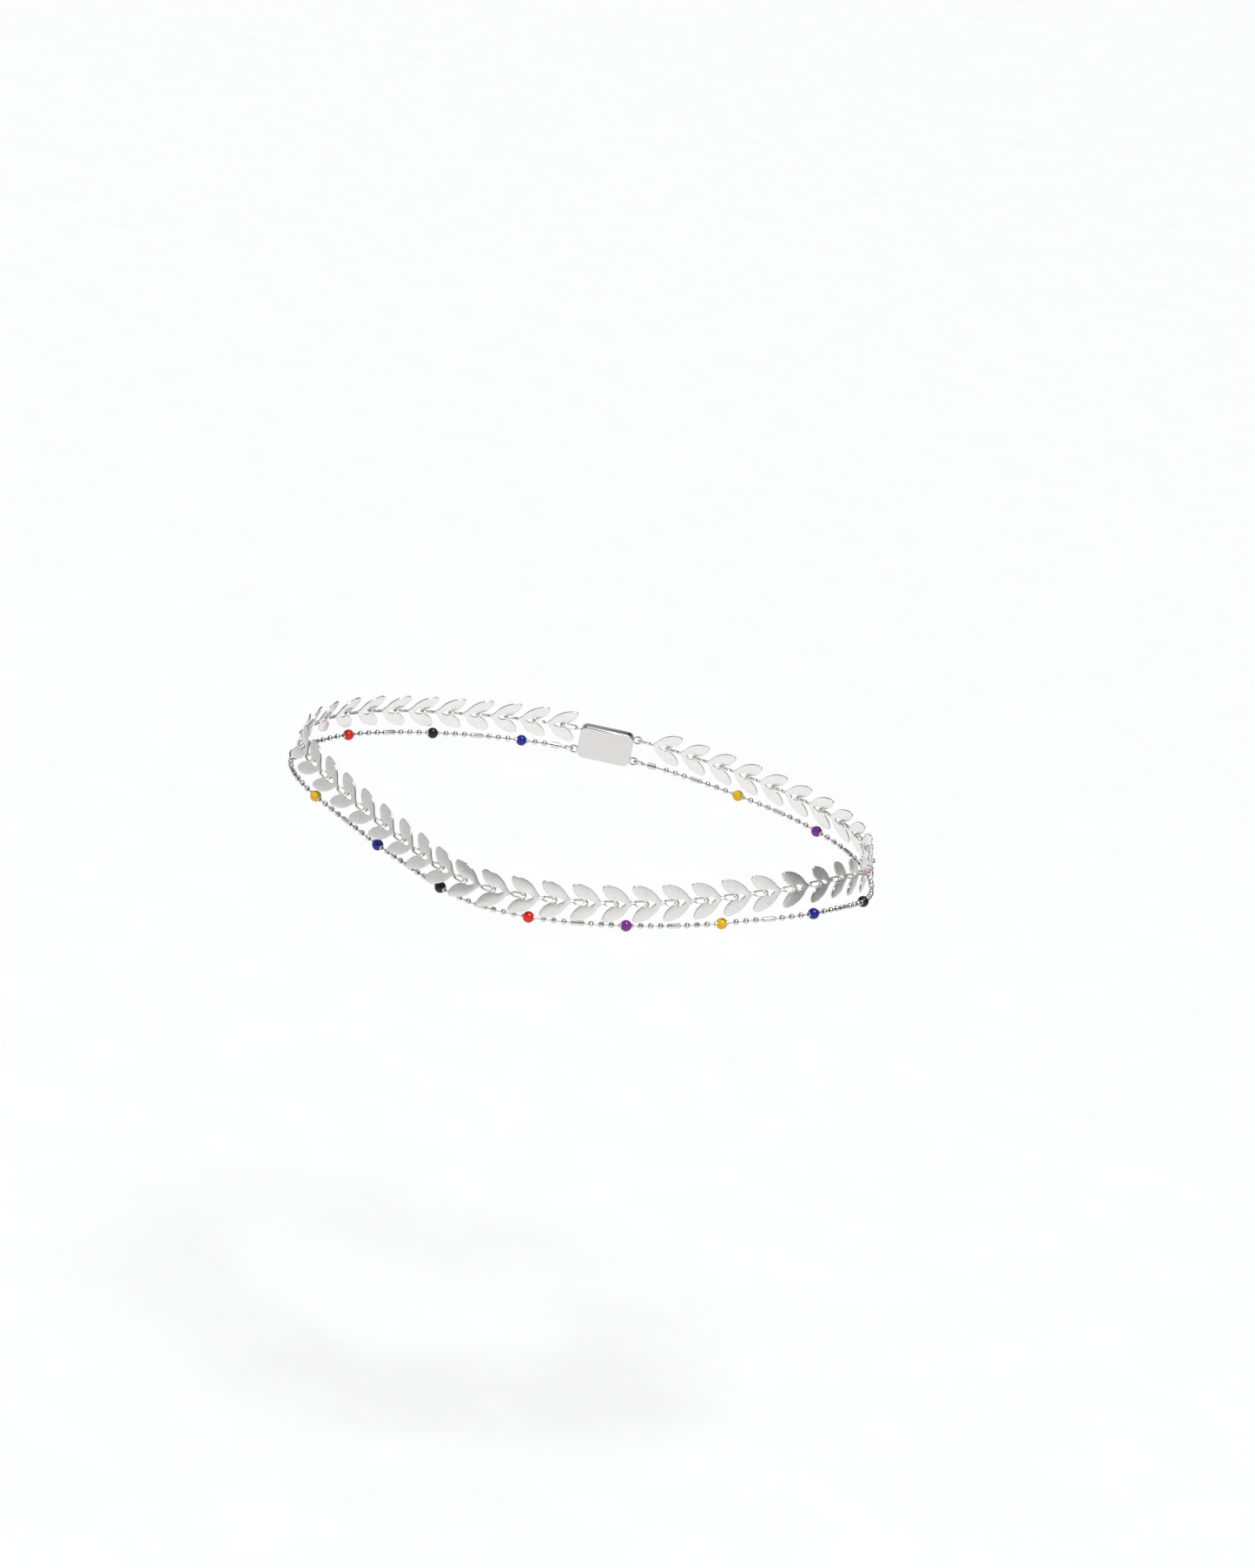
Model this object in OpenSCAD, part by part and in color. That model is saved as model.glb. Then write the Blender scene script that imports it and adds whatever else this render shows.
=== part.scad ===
// Two-strand anklet, closed in the oval that it takes round an ankle: a chain of leaf links
// over a string of small balls, bar tubes and enamel beads, both ending on one clasp.
// The z axis is the ankle's, -y is the near side, +x is the toes' side, and the clasp is far.

/* [Leaf chain] */
// Length of the chain taken by one link
link_pitch = 5; // [5:0.05:5.1]
// Thickness of the stamped plate
plate_t = 0.28; // [0.2:0.02:0.3]
// Radius of a leaf's outer edge
leaf_outer_r = 4.5; // [4.4:0.02:4.6]
// Radius of a leaf's inner edge
leaf_inner_r = 2.95; // [2.9:0.01:3]
// Width of the bar that closes the eye towards the leaves
bridge_w = 0.4; // [0.34:0.01:0.42]
// Length of the eye along the chain
eye_len = 1.54; // [1.4:0.02:1.6]
// Height of the eye
eye_h = 0.92; // [0.86:0.02:0.96]
// Diameter of the loop's wire
loop_wire = 0.34; // [0.28:0.02:0.36]
// Distance between the wire's centre lines across the loop
loop_gap = 1.2; // [1.16:0.02:1.24]
// Diameter of the round shank between plate and loop
shank_d = 0.54; // [0.44:0.02:0.6]
// Angle by which the plates lean back, to face up
lean = 13; // [12:1:18]
// Distance along the chain from the clasp's catch to the first link
chain_lead = 6.5; // [6:0.1:7]

/* [Bead string] */
// Distance along the string from one enamel bead to the next
period = 15.95; // [15.8:0.05:15.95]
// Distance between the balls in a group of three
ball_step = 1.67; // [1.6:0.01:1.75]
// Distance from an enamel bead to the nearest ball
bead_to_ball = 2.43; // [2.3:0.01:2.5]
// Diameter of a silver ball
ball_d = 1; // [0.9:0.02:1.1]
// Diameter of an enamel bead
bead_d = 1.9; // [1.7:0.02:1.96]
// Diameter of an enamel bead's bare end collars
collar_d = 0.78; // [0.7:0.02:0.9]
// Length of an enamel bead over both collars
collar_len = 2.36; // [2.1:0.02:2.5]
// Diameter of a bar tube
tube_d = 0.86; // [0.8:0.02:0.96]
// Length of a bar tube
tube_len = 2.16; // [1.9:0.02:2.3]
// Diameter of the thread
thread_d = 0.28; // [0.24:0.01:0.28]
// Diameter of the bores for the thread
bore_d = 0.56; // [0.55:0.01:0.6]
// Distance along the string from the clasp's middle to the first enamel bead
string_lead = 13.3; // [13.2:0.1:13.8]

/* [Clasp] */
// Height of the clasp's body
clasp_h = 6.4; // [6:0.1:7]
// Thickness of the clasp's body
clasp_t = 1.6; // [1.4:0.1:2]
// Radius of the clasp's corners
clasp_r = 1.2; // [0.6:0.1:1.4]
// Diameter of the cups that hold the thread's ends
cup_d = 1.1; // [1:0.02:1.2]
// Length of the cups
cup_len = 1.5; // [1.3:0.1:1.6]

/* [Hidden] */
link_count = 49;
bead_count = 15;
group = 3;
// Colour name and drawing colour of the enamel beads, in their order along the string
enamels = [
    ["yellow", "gold"],
    ["blue", "mediumblue"],
    ["black", "black"],
    ["red", "red"],
    ["purple", "darkviolet"],
];
function enamel(i) = enamels[(i + 1) % len(enamels)];
function enamel_name(i) = str("enamel_bead_", i + 1, "_", enamel(i)[0]);
function tube_name(i) = str("bar_tube_", i + 1);
$fn = 32;
satin = "gainsboro";
bright = "silver";

// Section: bearing, reach, height, drop, inset. The path of the leaf chain goes round the
// ankle from the clasp. The bead string hangs below the chain by the drop, and lies nearer
// to the skin than the plates by the inset.
BEARING = 0;
REACH = 1;
HEIGHT = 2;
DROP = 3;
INSET = 4;
sections = [
    [ 90, 31.0,  3.2, 4.4, 0.0],
    [107, 31.7,  3.0, 4.4, 0.0],
    [122, 33.5,  2.8, 4.4, 0.0],
    [136, 36.6,  2.5, 4.4, 0.0],
    [148, 40.9,  2.2, 4.6, 0.0],
    [158, 44.7,  2.0, 4.8, 0.0],
    [167, 47.3,  1.8, 5.0, 0.0],
    [175, 48.3,  1.8, 5.0, 0.0],
    [182, 48.2,  1.6, 4.8, 0.2],
    [189, 46.1,  0.8, 4.5, 0.5],
    [196, 42.8, -0.4, 4.2, 0.9],
    [204, 39.7, -1.5, 4.0, 1.3],
    [213, 37.4, -2.4, 3.8, 1.3],
    [223, 36.2, -3.1, 3.5, 1.3],
    [233, 36.4, -3.5, 3.2, 1.3],
    [243, 37.1, -3.8, 3.1, 1.3],
    [253, 36.6, -3.7, 3.3, 1.3],
    [264, 35.2, -3.4, 3.5, 1.3],
    [276, 34.2, -2.9, 3.6, 1.3],
    [288, 33.9, -2.2, 3.8, 1.3],
    [300, 34.7, -1.2, 4.1, 1.3],
    [311, 36.7,  0.1, 4.4, 1.2],
    [320, 39.5,  1.6, 4.6, 1.0],
    [327, 42.7,  3.0, 4.9, 0.8],
    [333, 45.1,  3.9, 5.1, 0.6],
    [340, 46.6,  3.9, 5.1, 0.4],
    [347, 47.7,  3.1, 5.0, 0.2],
    [354, 48.7,  2.3, 5.0, 0.0],
    [360, 49.2,  1.8, 5.0, 0.0],
    [370, 48.9,  1.6, 4.9, 0.0],
    [380, 46.8,  1.8, 4.7, 0.0],
    [390, 43.0,  2.2, 4.5, 0.0],
    [402, 38.2,  2.6, 4.4, 0.0],
    [416, 34.2,  3.0, 4.4, 0.0],
    [433, 31.8,  3.2, 4.4, 0.0],
];
turn = 360;
samples = 720;

// Half of the stretch of curve that sets a piece's direction: in degrees, and in millimetres
nearby_turn = 0.5;
nearby = 0.5;

function unit(v) = v / norm(v);

// A length in whole hundredths, at which neighbouring faces of one piece meet flush
function whole(length) = round(100 * length) / 100;

// Entry k of the table above, which repeats every turn
function section(k, column) =
    let (n = len(sections), wrapped = (k + n) % n)
    sections[wrapped][column] + (column == BEARING ? turn * floor(k / n) : 0);

// A column's value at a bearing, on the smooth curve through its sections
function between(b, column) =
    let (k = len([for (s = sections) if (s[BEARING] <= b) s]) - 1,
         x0 = section(k - 1, BEARING), x1 = section(k, BEARING),
         x2 = section(k + 1, BEARING), x3 = section(k + 2, BEARING),
         y0 = section(k - 1, column), y1 = section(k, column),
         y2 = section(k + 1, column), y3 = section(k + 2, column),
         h = x2 - x1, t = (b - x1) / h,
         slope1 = h * (y2 - y0) / (x2 - x0), slope2 = h * (y3 - y1) / (x3 - x1))
    (2 * t ^ 3 - 3 * t ^ 2 + 1) * y1 + (t ^ 3 - 2 * t ^ 2 + t) * slope1
    + (3 * t ^ 2 - 2 * t ^ 3) * y2 + (t ^ 3 - t ^ 2) * slope2;

function chain_point(b) =
    let (reach = between(b, REACH))
    [reach * cos(b), reach * sin(b), between(b, HEIGHT)];

// The three directions of a piece that runs from p to q: along, up and outwards
function directions(p, q) =
    let (along = unit(q - p),
         level = unit([along.y, -along.x, 0]),
         facing = [level.x * cos(lean), level.y * cos(lean), sin(lean)],
         upwards = unit(cross(facing, along)))
    [along, upwards, cross(along, upwards)];

// The bead string hangs below the chain and lies a little nearer to the skin
function string_point(b) =
    let (d = directions(chain_point(b - nearby_turn), chain_point(b + nearby_turn)))
    chain_point(b) - between(b, DROP) * d[1] - between(b, INSET) * d[2];

function angle_at(i) = sections[0][BEARING] + turn * i / samples;

// Pairs of a length along a curve and the bearing that it is reached at
function lengths(points) =
    [for (i = 0, s = 0; i < len(points);
          i = i + 1, s = i < len(points) ? s + norm(points[i] - points[i - 1]) : s)
        [s, angle_at(i)]];

chain_lengths = lengths([for (i = [0 : samples]) chain_point(angle_at(i))]);
string_lengths = lengths([for (i = [0 : samples]) string_point(angle_at(i))]);

function on_chain(s) = chain_point(lookup(s, chain_lengths));
function on_string(s) = string_point(lookup(s, string_lengths));

// Puts a piece at a point, with its x along, its y up and its z outwards
module placed(p, d) {
    multmatrix([
        [d[0].x, d[1].x, d[2].x, p.x],
        [d[0].y, d[1].y, d[2].y, p.y],
        [d[0].z, d[1].z, d[2].z, p.z],
        [0, 0, 0, 1],
    ])
        children();
}

// The leaf link. Its own x = 0 is the middle of the bar at the eye, which the last link's
// loop holds.
play = 0.15;
loop_over = bridge_w / 2 + play + loop_wire / 2;
loop_rise = loop_gap / 2;
eye_x = bridge_w / 2;
tip_len = 1.12;
tip_x = eye_x + eye_len + tip_len;
bridge_h = 1.3;
// Centres of the arcs along the upper leaf's edges, and of the one across its blunt end,
// measured from the tip
leaf_outer_at = [-4.47, -1.45];
leaf_inner_at = [-2.12, 3.22];
leaf_end_at = [-0.55, 0.75];
leaf_end_r = 4.77;
neck_d = 0.34;
neck_len = 0.12;
shank_len = 0.85;
// A link's own shank is short, and its loop is turned about the chain's length
link_shank_len = 0.45;
link_loop_turn = 25;

module leaf_outline() {
    translate([tip_x, 0])
        for (side = [1, -1])
            intersection() {
                translate([leaf_outer_at.x, side * leaf_outer_at.y]) circle(leaf_outer_r);
                translate([leaf_inner_at.x, side * leaf_inner_at.y]) circle(leaf_inner_r);
                translate([leaf_end_at.x, side * leaf_end_at.y]) circle(leaf_end_r);
            }
}

// The blunt tip, which widens into the leaves, and the web between the leaves round the eye
module tip_outline() {
    tip_h = 0.24;
    root = 0.6;
    root_h = 0.82;
    polygon([[tip_x, tip_h], [tip_x - root, root_h], [eye_x + root, root_h],
             [eye_x + root, -root_h], [tip_x - root, -root_h], [tip_x, -tip_h]]);
}

// A lens along x, cut off square at the bar
module eye_outline() {
    lens_len = 1.3 * eye_len;
    r = (lens_len ^ 2 + eye_h ^ 2) / (4 * eye_h);
    module arc_side(side) {
        translate([eye_x + eye_len - lens_len / 2, side * (r - eye_h / 2)]) circle(r);
    }
    intersection() {
        arc_side(1);
        arc_side(-1);
        translate([eye_x, -eye_h]) square([lens_len, 2 * eye_h]);
    }
}

module plate() {
    translate([0, 0, -plate_t / 2])
        linear_extrude(plate_t)
            difference() {
                union() {
                    leaf_outline();
                    tip_outline();
                    translate([-bridge_w / 2, -bridge_h / 2]) square([bridge_w, bridge_h]);
                }
                eye_outline();
            }
}

module rod(d, from, to) {
    translate([from, 0, 0]) rotate([0, 90, 0]) cylinder(d = d, h = to - from);
}

// A closed wire loop in the x-z plane: two half rings joined by two straight wires
module loop(from, to) {
    module end(turned) {
        rotate([0, turned, 0]) rotate([90, 0, 0])
            rotate_extrude(angle = 180, start = 90) translate([loop_rise, 0]) circle(d = loop_wire);
    }
    left = from + loop_rise;
    right = to - loop_rise;
    translate([left, 0, 0]) end(0);
    translate([right, 0, 0]) end(180);
    for (side = [1, -1])
        translate([0, 0, side * loop_rise]) rod(loop_wire, left, right);
}

// A round shank that starts at x, and the loop on it that holds a bar at held_x
module shank_and_loop(x, held_x, shank = shank_len, loop_turn = 0) {
    shank_end = x + neck_len + shank;
    rod(neck_d, x - neck_len, x + 2 * neck_len);
    rod(shank_d, x + neck_len, shank_end);
    rotate([loop_turn, 0, 0]) loop(shank_end - loop_wire / 2, held_x + loop_over);
}

module leaf_link() {
    plate();
    shank_and_loop(tip_x, link_pitch, link_shank_len, link_loop_turn);
}

function catch_point(i) = on_chain(chain_lead + i * link_pitch);

module leaf_links() {
    color(satin)
        for (i = [0 : link_count - 1])
            placed(catch_point(i), directions(catch_point(i), catch_point(i + 1))) leaf_link();
}

// The clasp runs from the last link's catch to the first link's, with a lug for each cup.
clasp_from = catch_point(link_count);
clasp_to = catch_point(0);
clasp_span = whole(norm(clasp_to - clasp_from));
clasp_directions = directions(clasp_from, clasp_to);
lug_hole = 1.06;
lug_rim = 0.3;
lug_reach = 1.3;
latch_reach = 2.1;
body_to = clasp_span - neck_len - shank_len - latch_reach;
clasp_drop = sections[0][DROP];
lower_lug_x = body_to + lug_reach;

// A washer-shaped lug whose rim has its middle at x = 0, with the hole towards +x
module lug() {
    middle = lug_rim / 2 + lug_hole / 2;
    translate([middle, 0, -plate_t / 2])
        difference() {
            cylinder(d = lug_hole + 2 * lug_rim, h = plate_t);
            translate([0, 0, -plate_t]) cylinder(d = lug_hole, h = 3 * plate_t);
        }
}

module clasp_body() {
    length = body_to - lug_reach;
    translate([lug_reach, -clasp_drop / 2 - clasp_h / 2, -clasp_t / 2])
        linear_extrude(clasp_t) {
            translate([clasp_r, 0]) square([length - 2 * clasp_r, clasp_h]);
            translate([0, clasp_r]) square([length, clasp_h - 2 * clasp_r]);
            for (x = [clasp_r, length - clasp_r], y = [clasp_r, clasp_h - clasp_r])
                translate([x, y]) circle(clasp_r);
        }
}

module clasp() {
    color(bright)
        placed(clasp_from, clasp_directions) {
            clasp_body();
            lug();
            translate([0, -clasp_drop, 0]) lug();
            translate([lower_lug_x, -clasp_drop, 0]) rotate([0, 0, 180]) lug();
            shank_and_loop(body_to, clasp_span);
        }
}

function clasp_point(x, y) = clasp_from + x * clasp_directions[0] + y * clasp_directions[1];

// The bead string: each enamel bead is followed by three balls, a bar tube and three balls,
// and two balls lead the first one.
lead_balls = 2;
tube_rounding = 0.14;
tube_after = period / 2;
ball_offsets = concat(
    [for (k = [0 : group - 1]) bead_to_ball + k * ball_step],
    [for (k = [group - 1 : -1 : 0]) period - bead_to_ball - k * ball_step]);

function bead_s(i) = string_lead + i * period;
function tube_s(i) = bead_s(i) + tube_after;
function lead_s(k) = string_lead - bead_to_ball - k * ball_step;
function string_directions(s) = directions(on_string(s - nearby), on_string(s + nearby));

// A point on the axis of the straight piece at s
function beside(s, distance) = on_string(s) + distance * string_directions(s)[0];

module on_string_at(s) {
    placed(on_string(s), string_directions(s)) children();
}

module bore(length) {
    rod(bore_d, -length, length);
}

module silver_ball() {
    difference() {
        sphere(d = ball_d);
        bore(ball_d);
    }
}

module silver_balls() {
    color(bright) {
        for (k = [0 : lead_balls - 1])
            on_string_at(lead_s(k)) silver_ball();
        for (i = [0 : bead_count - 1], offset = ball_offsets)
            on_string_at(bead_s(i) + offset) silver_ball();
    }
}

module enamel_bead(i) {
    color(enamel(i)[1])
        on_string_at(bead_s(i))
            difference() {
                union() {
                    sphere(d = bead_d);
                    rod(collar_d, -collar_len / 2, collar_len / 2);
                }
                bore(collar_len);
            }
}

module bar_tube(i) {
    from_axis = tube_d / 2 - tube_rounding;
    from_middle = tube_len / 2 - tube_rounding;
    color(bright)
        on_string_at(tube_s(i))
            difference() {
                rotate([0, 90, 0])
                    rotate_extrude()
                        for (end = [0, 1]) mirror([0, end]) {
                            square([tube_d / 2, from_middle]);
                            square([from_axis, tube_len / 2]);
                            translate([from_axis, from_middle]) circle(tube_rounding);
                        }
                bore(tube_len);
            }
}

// The cups at the thread's ends, each with the shank and loop that holds a lug of the clasp
cup_hold = 0.6;
cup_floor = 0.3;
first_hold = clasp_point(lower_lug_x, -clasp_drop);
last_hold = clasp_point(0, -clasp_drop);
first_mouth = on_string(lead_s(lead_balls) + ball_d / 2);
last_mouth = on_string(bead_s(bead_count) - ball_d / 2);

module string_end(hold, mouth) {
    placed(mouth, directions(mouth, hold)) {
        difference() {
            rod(cup_d, 0, cup_len);
            rod(bore_d, -cup_len, cup_len - cup_floor);
        }
        shank_and_loop(cup_len, whole(norm(hold - mouth)));
    }
}

module string_ends() {
    color(bright) {
        string_end(first_hold, first_mouth);
        string_end(last_hold, last_mouth);
    }
}

// The thread's corners: its ends inside the cups, both ends of each straight bore, each ball
thread_points = concat(
    [first_mouth + cup_hold * unit(first_hold - first_mouth), first_mouth],
    [for (k = [lead_balls - 1 : -1 : 0]) on_string(lead_s(k))],
    [for (i = [0 : bead_count - 1]) each concat(
        [beside(bead_s(i), -collar_len / 2), beside(bead_s(i), collar_len / 2)],
        [for (k = [0 : group - 1]) on_string(bead_s(i) + ball_offsets[k])],
        [beside(tube_s(i), -tube_len / 2), beside(tube_s(i), tube_len / 2)],
        [for (k = [group : 2 * group - 1]) on_string(bead_s(i) + ball_offsets[k])])],
    [last_mouth, last_mouth + cup_hold * unit(last_hold - last_mouth)]);
thread_sides = 8;

module bead_thread() {
    rings = len(thread_points);
    last = rings - 1;
    n = thread_sides;
    points = [
        for (i = [0 : last])
            let (p = thread_points[i],
                 d = directions(thread_points[max(i - 1, 0)], thread_points[min(i + 1, last)]))
            for (k = [0 : n - 1])
                let (a = turn * k / n)
                p + thread_d / 2 * (cos(a) * d[1] + sin(a) * d[2])
    ];
    sides = [
        for (i = [0 : last - 1], k = [0 : n - 1])
            let (a = i * n + k, b = i * n + (k + 1) % n)
            [a, a + n, b + n, b]
    ];
    color(bright)
        polyhedron(points, concat(
            [[for (k = [0 : n - 1]) k]],
            sides,
            [[for (k = [n - 1 : -1 : 0]) last * n + k]]));
}

leaf_links();
silver_balls();
bead_thread();
string_ends();
clasp();
for (i = [0 : bead_count - 1]) {
    enamel_bead(i);
    bar_tube(i);
}
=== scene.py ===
"""Dresses the packed anklet: leaf chain, bead string and clasp, with a plain studio round them.

Each packed node is split into its loose solids, and each solid gives the place and the axes on
which its detailed piece is set, so nothing is fitted by eye. Lengths are in metres.
"""

import math

import bmesh
import bpy
import numpy as np
from bpy.props import FloatProperty, FloatVectorProperty, PointerProperty
from bpy.types import Operator, Panel, PropertyGroup
from mathutils import Matrix, Vector
from mathutils.geometry import intersect_line_sphere_2d, intersect_sphere_sphere_2d


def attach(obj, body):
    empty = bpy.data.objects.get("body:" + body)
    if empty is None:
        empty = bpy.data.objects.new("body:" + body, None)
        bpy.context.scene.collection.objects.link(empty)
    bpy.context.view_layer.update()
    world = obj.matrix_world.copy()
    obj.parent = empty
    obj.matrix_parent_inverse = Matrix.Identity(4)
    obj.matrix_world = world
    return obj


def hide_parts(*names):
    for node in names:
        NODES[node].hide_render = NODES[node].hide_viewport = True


bl_info = {
    "name": "Leaf and Bead Anklet",
    "version": (1, 0, 0),
    "blender": (4, 5, 0),
    "location": "View3D > Sidebar > Anklet",
    "description": "Builds the detailed pieces of an anklet round its packed solids",
    "category": "Object",
}

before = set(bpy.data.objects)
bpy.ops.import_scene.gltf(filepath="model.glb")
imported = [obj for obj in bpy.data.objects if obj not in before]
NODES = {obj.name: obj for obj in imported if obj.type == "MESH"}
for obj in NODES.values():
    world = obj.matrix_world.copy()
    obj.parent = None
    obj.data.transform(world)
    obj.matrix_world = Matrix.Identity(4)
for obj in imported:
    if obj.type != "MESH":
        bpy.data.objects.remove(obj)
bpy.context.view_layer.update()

MM = 0.001
TURN = 2 * math.pi
BODY = "root"
MERGE = 1e-6
TINY = 1e-18
FLAT = 0.999
SMOOTH_ANGLE = math.radians(35)
WIRE_SIDES = 12


# Settings


def length(name, description, millimetres):
    return FloatProperty(
        name=name, description=description, default=millimetres * MM, unit="LENGTH", precision=5)


def angle(name, description, degrees):
    return FloatProperty(
        name=name, description=description, default=math.radians(degrees), subtype="ANGLE",
        unit="ROTATION")


def colour(name, description, *rgb):
    return FloatVectorProperty(
        name=name, description=description, default=rgb, size=3, subtype="COLOR", min=0, max=1)


def number(name, description, value):
    return FloatProperty(name=name, description=description, default=value)


class LeafSizes(PropertyGroup):
    """The leaf link, measured from the middle of the bar at its eye."""

    pitch: length("Pitch", "Length of chain that one link takes", 5)
    thickness: length("Thickness", "Thickness of the stamped plate", 0.28)
    outer_radius: length("Outer radius", "Radius of a leaf's outer edge", 4.5)
    outer_back: length("Outer centre back", "Outer arc's centre, back from the tip", 4.47)
    outer_aside: length("Outer centre aside", "Outer arc's centre, from the middle", -1.45)
    inner_radius: length("Inner radius", "Radius of a leaf's inner edge", 2.95)
    inner_back: length("Inner centre back", "Inner arc's centre, back from the tip", 2.12)
    inner_aside: length("Inner centre aside", "Inner arc's centre, from the middle", 3.22)
    end_radius: length("End radius", "Rounding of a leaf's free end", 0.55)
    bar: length("Bar", "Width of the bar that closes the eye", 0.4)
    eye_length: length("Eye length", "Length of the eye", 1.54)
    eye_height: length("Eye height", "Height of the eye", 0.92)
    tip_length: length("Tip length", "Length from the eye's point to the tip", 1.12)
    tip_half: length("Tip half height", "Half height of the blunt tip", 0.24)
    root_back: length("Root back", "Length over which the tip widens", 0.6)
    root_half: length("Root half height", "Half height where the tip meets the leaves", 0.82)
    rim: length("Rim", "Width of the polished edge", 0.1)
    neck: length("Neck", "Diameter of the neck behind the tip", 0.34)
    neck_length: length("Neck length", "Length of the neck behind the tip", 0.12)
    shank: length("Shank", "Diameter of the round shank", 0.54)
    shank_length: length("Shank length", "Length of the round shank", 0.45)
    wire: length("Wire", "Diameter of the loop's wire", 0.34)
    gap: length("Loop gap", "Distance across the loop between the wire's centres", 1.2)
    loop_turn: angle("Loop turn", "Angle by which the loop is turned about the shank", 25)
    play: length("Play", "Room between a bar and the loop round it", 0.15)


class StringSizes(PropertyGroup):
    """The pieces threaded on the bead string."""

    ball: length("Ball", "Diameter of a silver ball", 1.0)
    bead: length("Bead", "Diameter of an enamel bead", 1.9)
    collar: length("Collar", "Diameter of an enamel bead's bare end collars", 0.78)
    collar_length: length("Collar length", "Length of an enamel bead over its collars", 2.36)
    tube: length("Tube", "Diameter of a bar tube", 0.86)
    tube_length: length("Tube length", "Length of a bar tube", 2.16)
    tube_rounding: length("Tube rounding", "Radius of a bar tube's ends", 0.14)
    bore: length("Bore", "Diameter of the bores", 0.56)
    thread: length("Thread", "Diameter of the thread", 0.28)
    cup: length("Cup", "Diameter of the cups at the thread's ends", 1.1)
    cup_length: length("Cup length", "Length of the cups", 1.5)
    cup_floor: length("Cup floor", "Thickness of a cup's closed end", 0.3)


class ClaspSizes(PropertyGroup):
    """The plain clasp on the far side."""

    height: length("Height", "Height of the body", 6.4)
    thickness: length("Thickness", "Thickness of the body", 1.6)
    corner: length("Corner", "Radius of the body's corners", 1.2)
    edge: length("Edge", "Rounding of the body's edges", 0.25)
    drop: length("Drop", "Distance from the chain's lug down to the string's", 4.4)
    shank_length: length("Shank length", "Length of the clasp's and the cups' shanks", 0.85)
    lug_reach: length("Lug reach", "Distance from a lug's rim to the body", 1.3)
    latch_reach: length("Latch reach", "Distance from the shank to what its loop holds", 2.1)
    lug_hole: length("Lug hole", "Diameter of a lug's hole", 1.06)
    lug_rim: length("Lug rim", "Width of a lug's rim", 0.3)


class Looks(PropertyGroup):
    """Colours of the metals and enamels."""

    satin: colour("Satin silver", "Brushed leaf faces", 0.88, 0.87, 0.855)
    silver: colour("Polished silver", "Balls, tubes, loops and rims", 0.73, 0.72, 0.705)
    yellow: colour("Yellow", "Yellow enamel", 0.80, 0.49, 0.01)
    blue: colour("Blue", "Blue enamel", 0.010, 0.018, 0.25)
    black: colour("Black", "Black enamel", 0.010, 0.007, 0.006)
    red: colour("Red", "Red enamel", 0.70, 0.018, 0.008)
    purple: colour("Purple", "Purple enamel", 0.20, 0.026, 0.27)


class StageSizes(PropertyGroup):
    """Camera, lights and floor."""

    elevation: angle("Elevation", "How far down the camera looks", 20)
    roll: angle("Roll", "How far the camera leans about its line of sight", 12.6)
    distance: length("Distance", "From the camera's plane to the loop's centre", 729)
    lens: number("Lens", "Focal length in millimetres", 100)
    sensor: number("Sensor", "Sensor height in millimetres", 36)
    floor_depth: length("Floor depth", "How far the floor lies below the loop's centre", 120)
    key_azimuth: angle("Key azimuth", "Direction of the softbox round the loop's axis", -72)
    key_elevation: angle("Key elevation", "Height of the softbox above the horizon", 69)
    key_spread: angle("Key spread", "Angle that the softbox fills", 15)
    key_strength: number("Key strength", "Light of the softbox in watts a square metre", 2.1)
    tent: colour("Tent", "Tint of the tent's light", 0.985, 0.99, 1.0)
    tent_strength: number("Tent strength", "Full light of the tent", 1.3)
    tent_share: number("Tent share", "Share of the full light over most of the tent", 0.3)


# Shader building


class Wire:
    """An output socket on which arithmetic adds Math nodes."""

    def __init__(self, finish, socket):
        self.finish = finish
        self.socket = socket

    def math(self, operation, first, second):
        return self.finish.node("ShaderNodeMath", {"operation": operation}, {0: first, 1: second})

    def __add__(self, other):
        return self.math("ADD", self, other)

    def __sub__(self, other):
        return self.math("SUBTRACT", self, other)

    def __rsub__(self, other):
        return self.math("SUBTRACT", other, self)

    def __mul__(self, other):
        return self.math("MULTIPLY", self, other)

    __radd__ = __add__
    __rmul__ = __mul__


class Finish:
    """A node tree in the making."""

    def __init__(self, owner):
        owner.use_nodes = True
        self.owner = owner
        self.tree = owner.node_tree

    def node(self, kind, settings, sockets, output=0):
        made = self.tree.nodes.new(kind)
        for name, value in settings.items():
            setattr(made, name, value)
        for name, value in sockets.items():
            self.feed(made.inputs[name], value)
        return Wire(self, made.outputs[output])

    def feed(self, socket, value):
        if isinstance(value, Wire):
            self.tree.links.new(value.socket, socket)
        else:
            socket.default_value = value

    def coordinates(self, kind):
        return self.node("ShaderNodeTexCoord", {}, {}, kind)

    def stretched(self, vector, scale):
        return self.node("ShaderNodeMapping", {}, {"Vector": vector, "Scale": scale})

    def noise(self, vector, scale, detail=2.0, roughness=0.5):
        return self.node("ShaderNodeTexNoise", {}, {
            "Vector": vector, "Scale": scale, "Detail": detail, "Roughness": roughness})

    def between(self, value, low, high, to_low=0.0, to_high=1.0):
        return self.node("ShaderNodeMapRange", {}, {
            "Value": value, "From Min": low, "From Max": high, "To Min": to_low,
            "To Max": to_high})

    def mix(self, factor, first, second):
        return self.node("ShaderNodeMix", {"data_type": "RGBA"}, {
            0: factor, 6: (*first, 1), 7: (*second, 1)}, 2)

    def bump(self, height, distance, strength=1.0):
        return self.node("ShaderNodeBump", {}, {
            "Height": height, "Distance": distance, "Strength": strength})

    def shader(self, **values):
        """Sets the material's own shader; an underscore in a name stands for a space."""
        inputs = self.tree.nodes["Principled BSDF"].inputs
        for name, value in values.items():
            self.feed(inputs[name.replace("_", " ")], value)
        return self.owner


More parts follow.
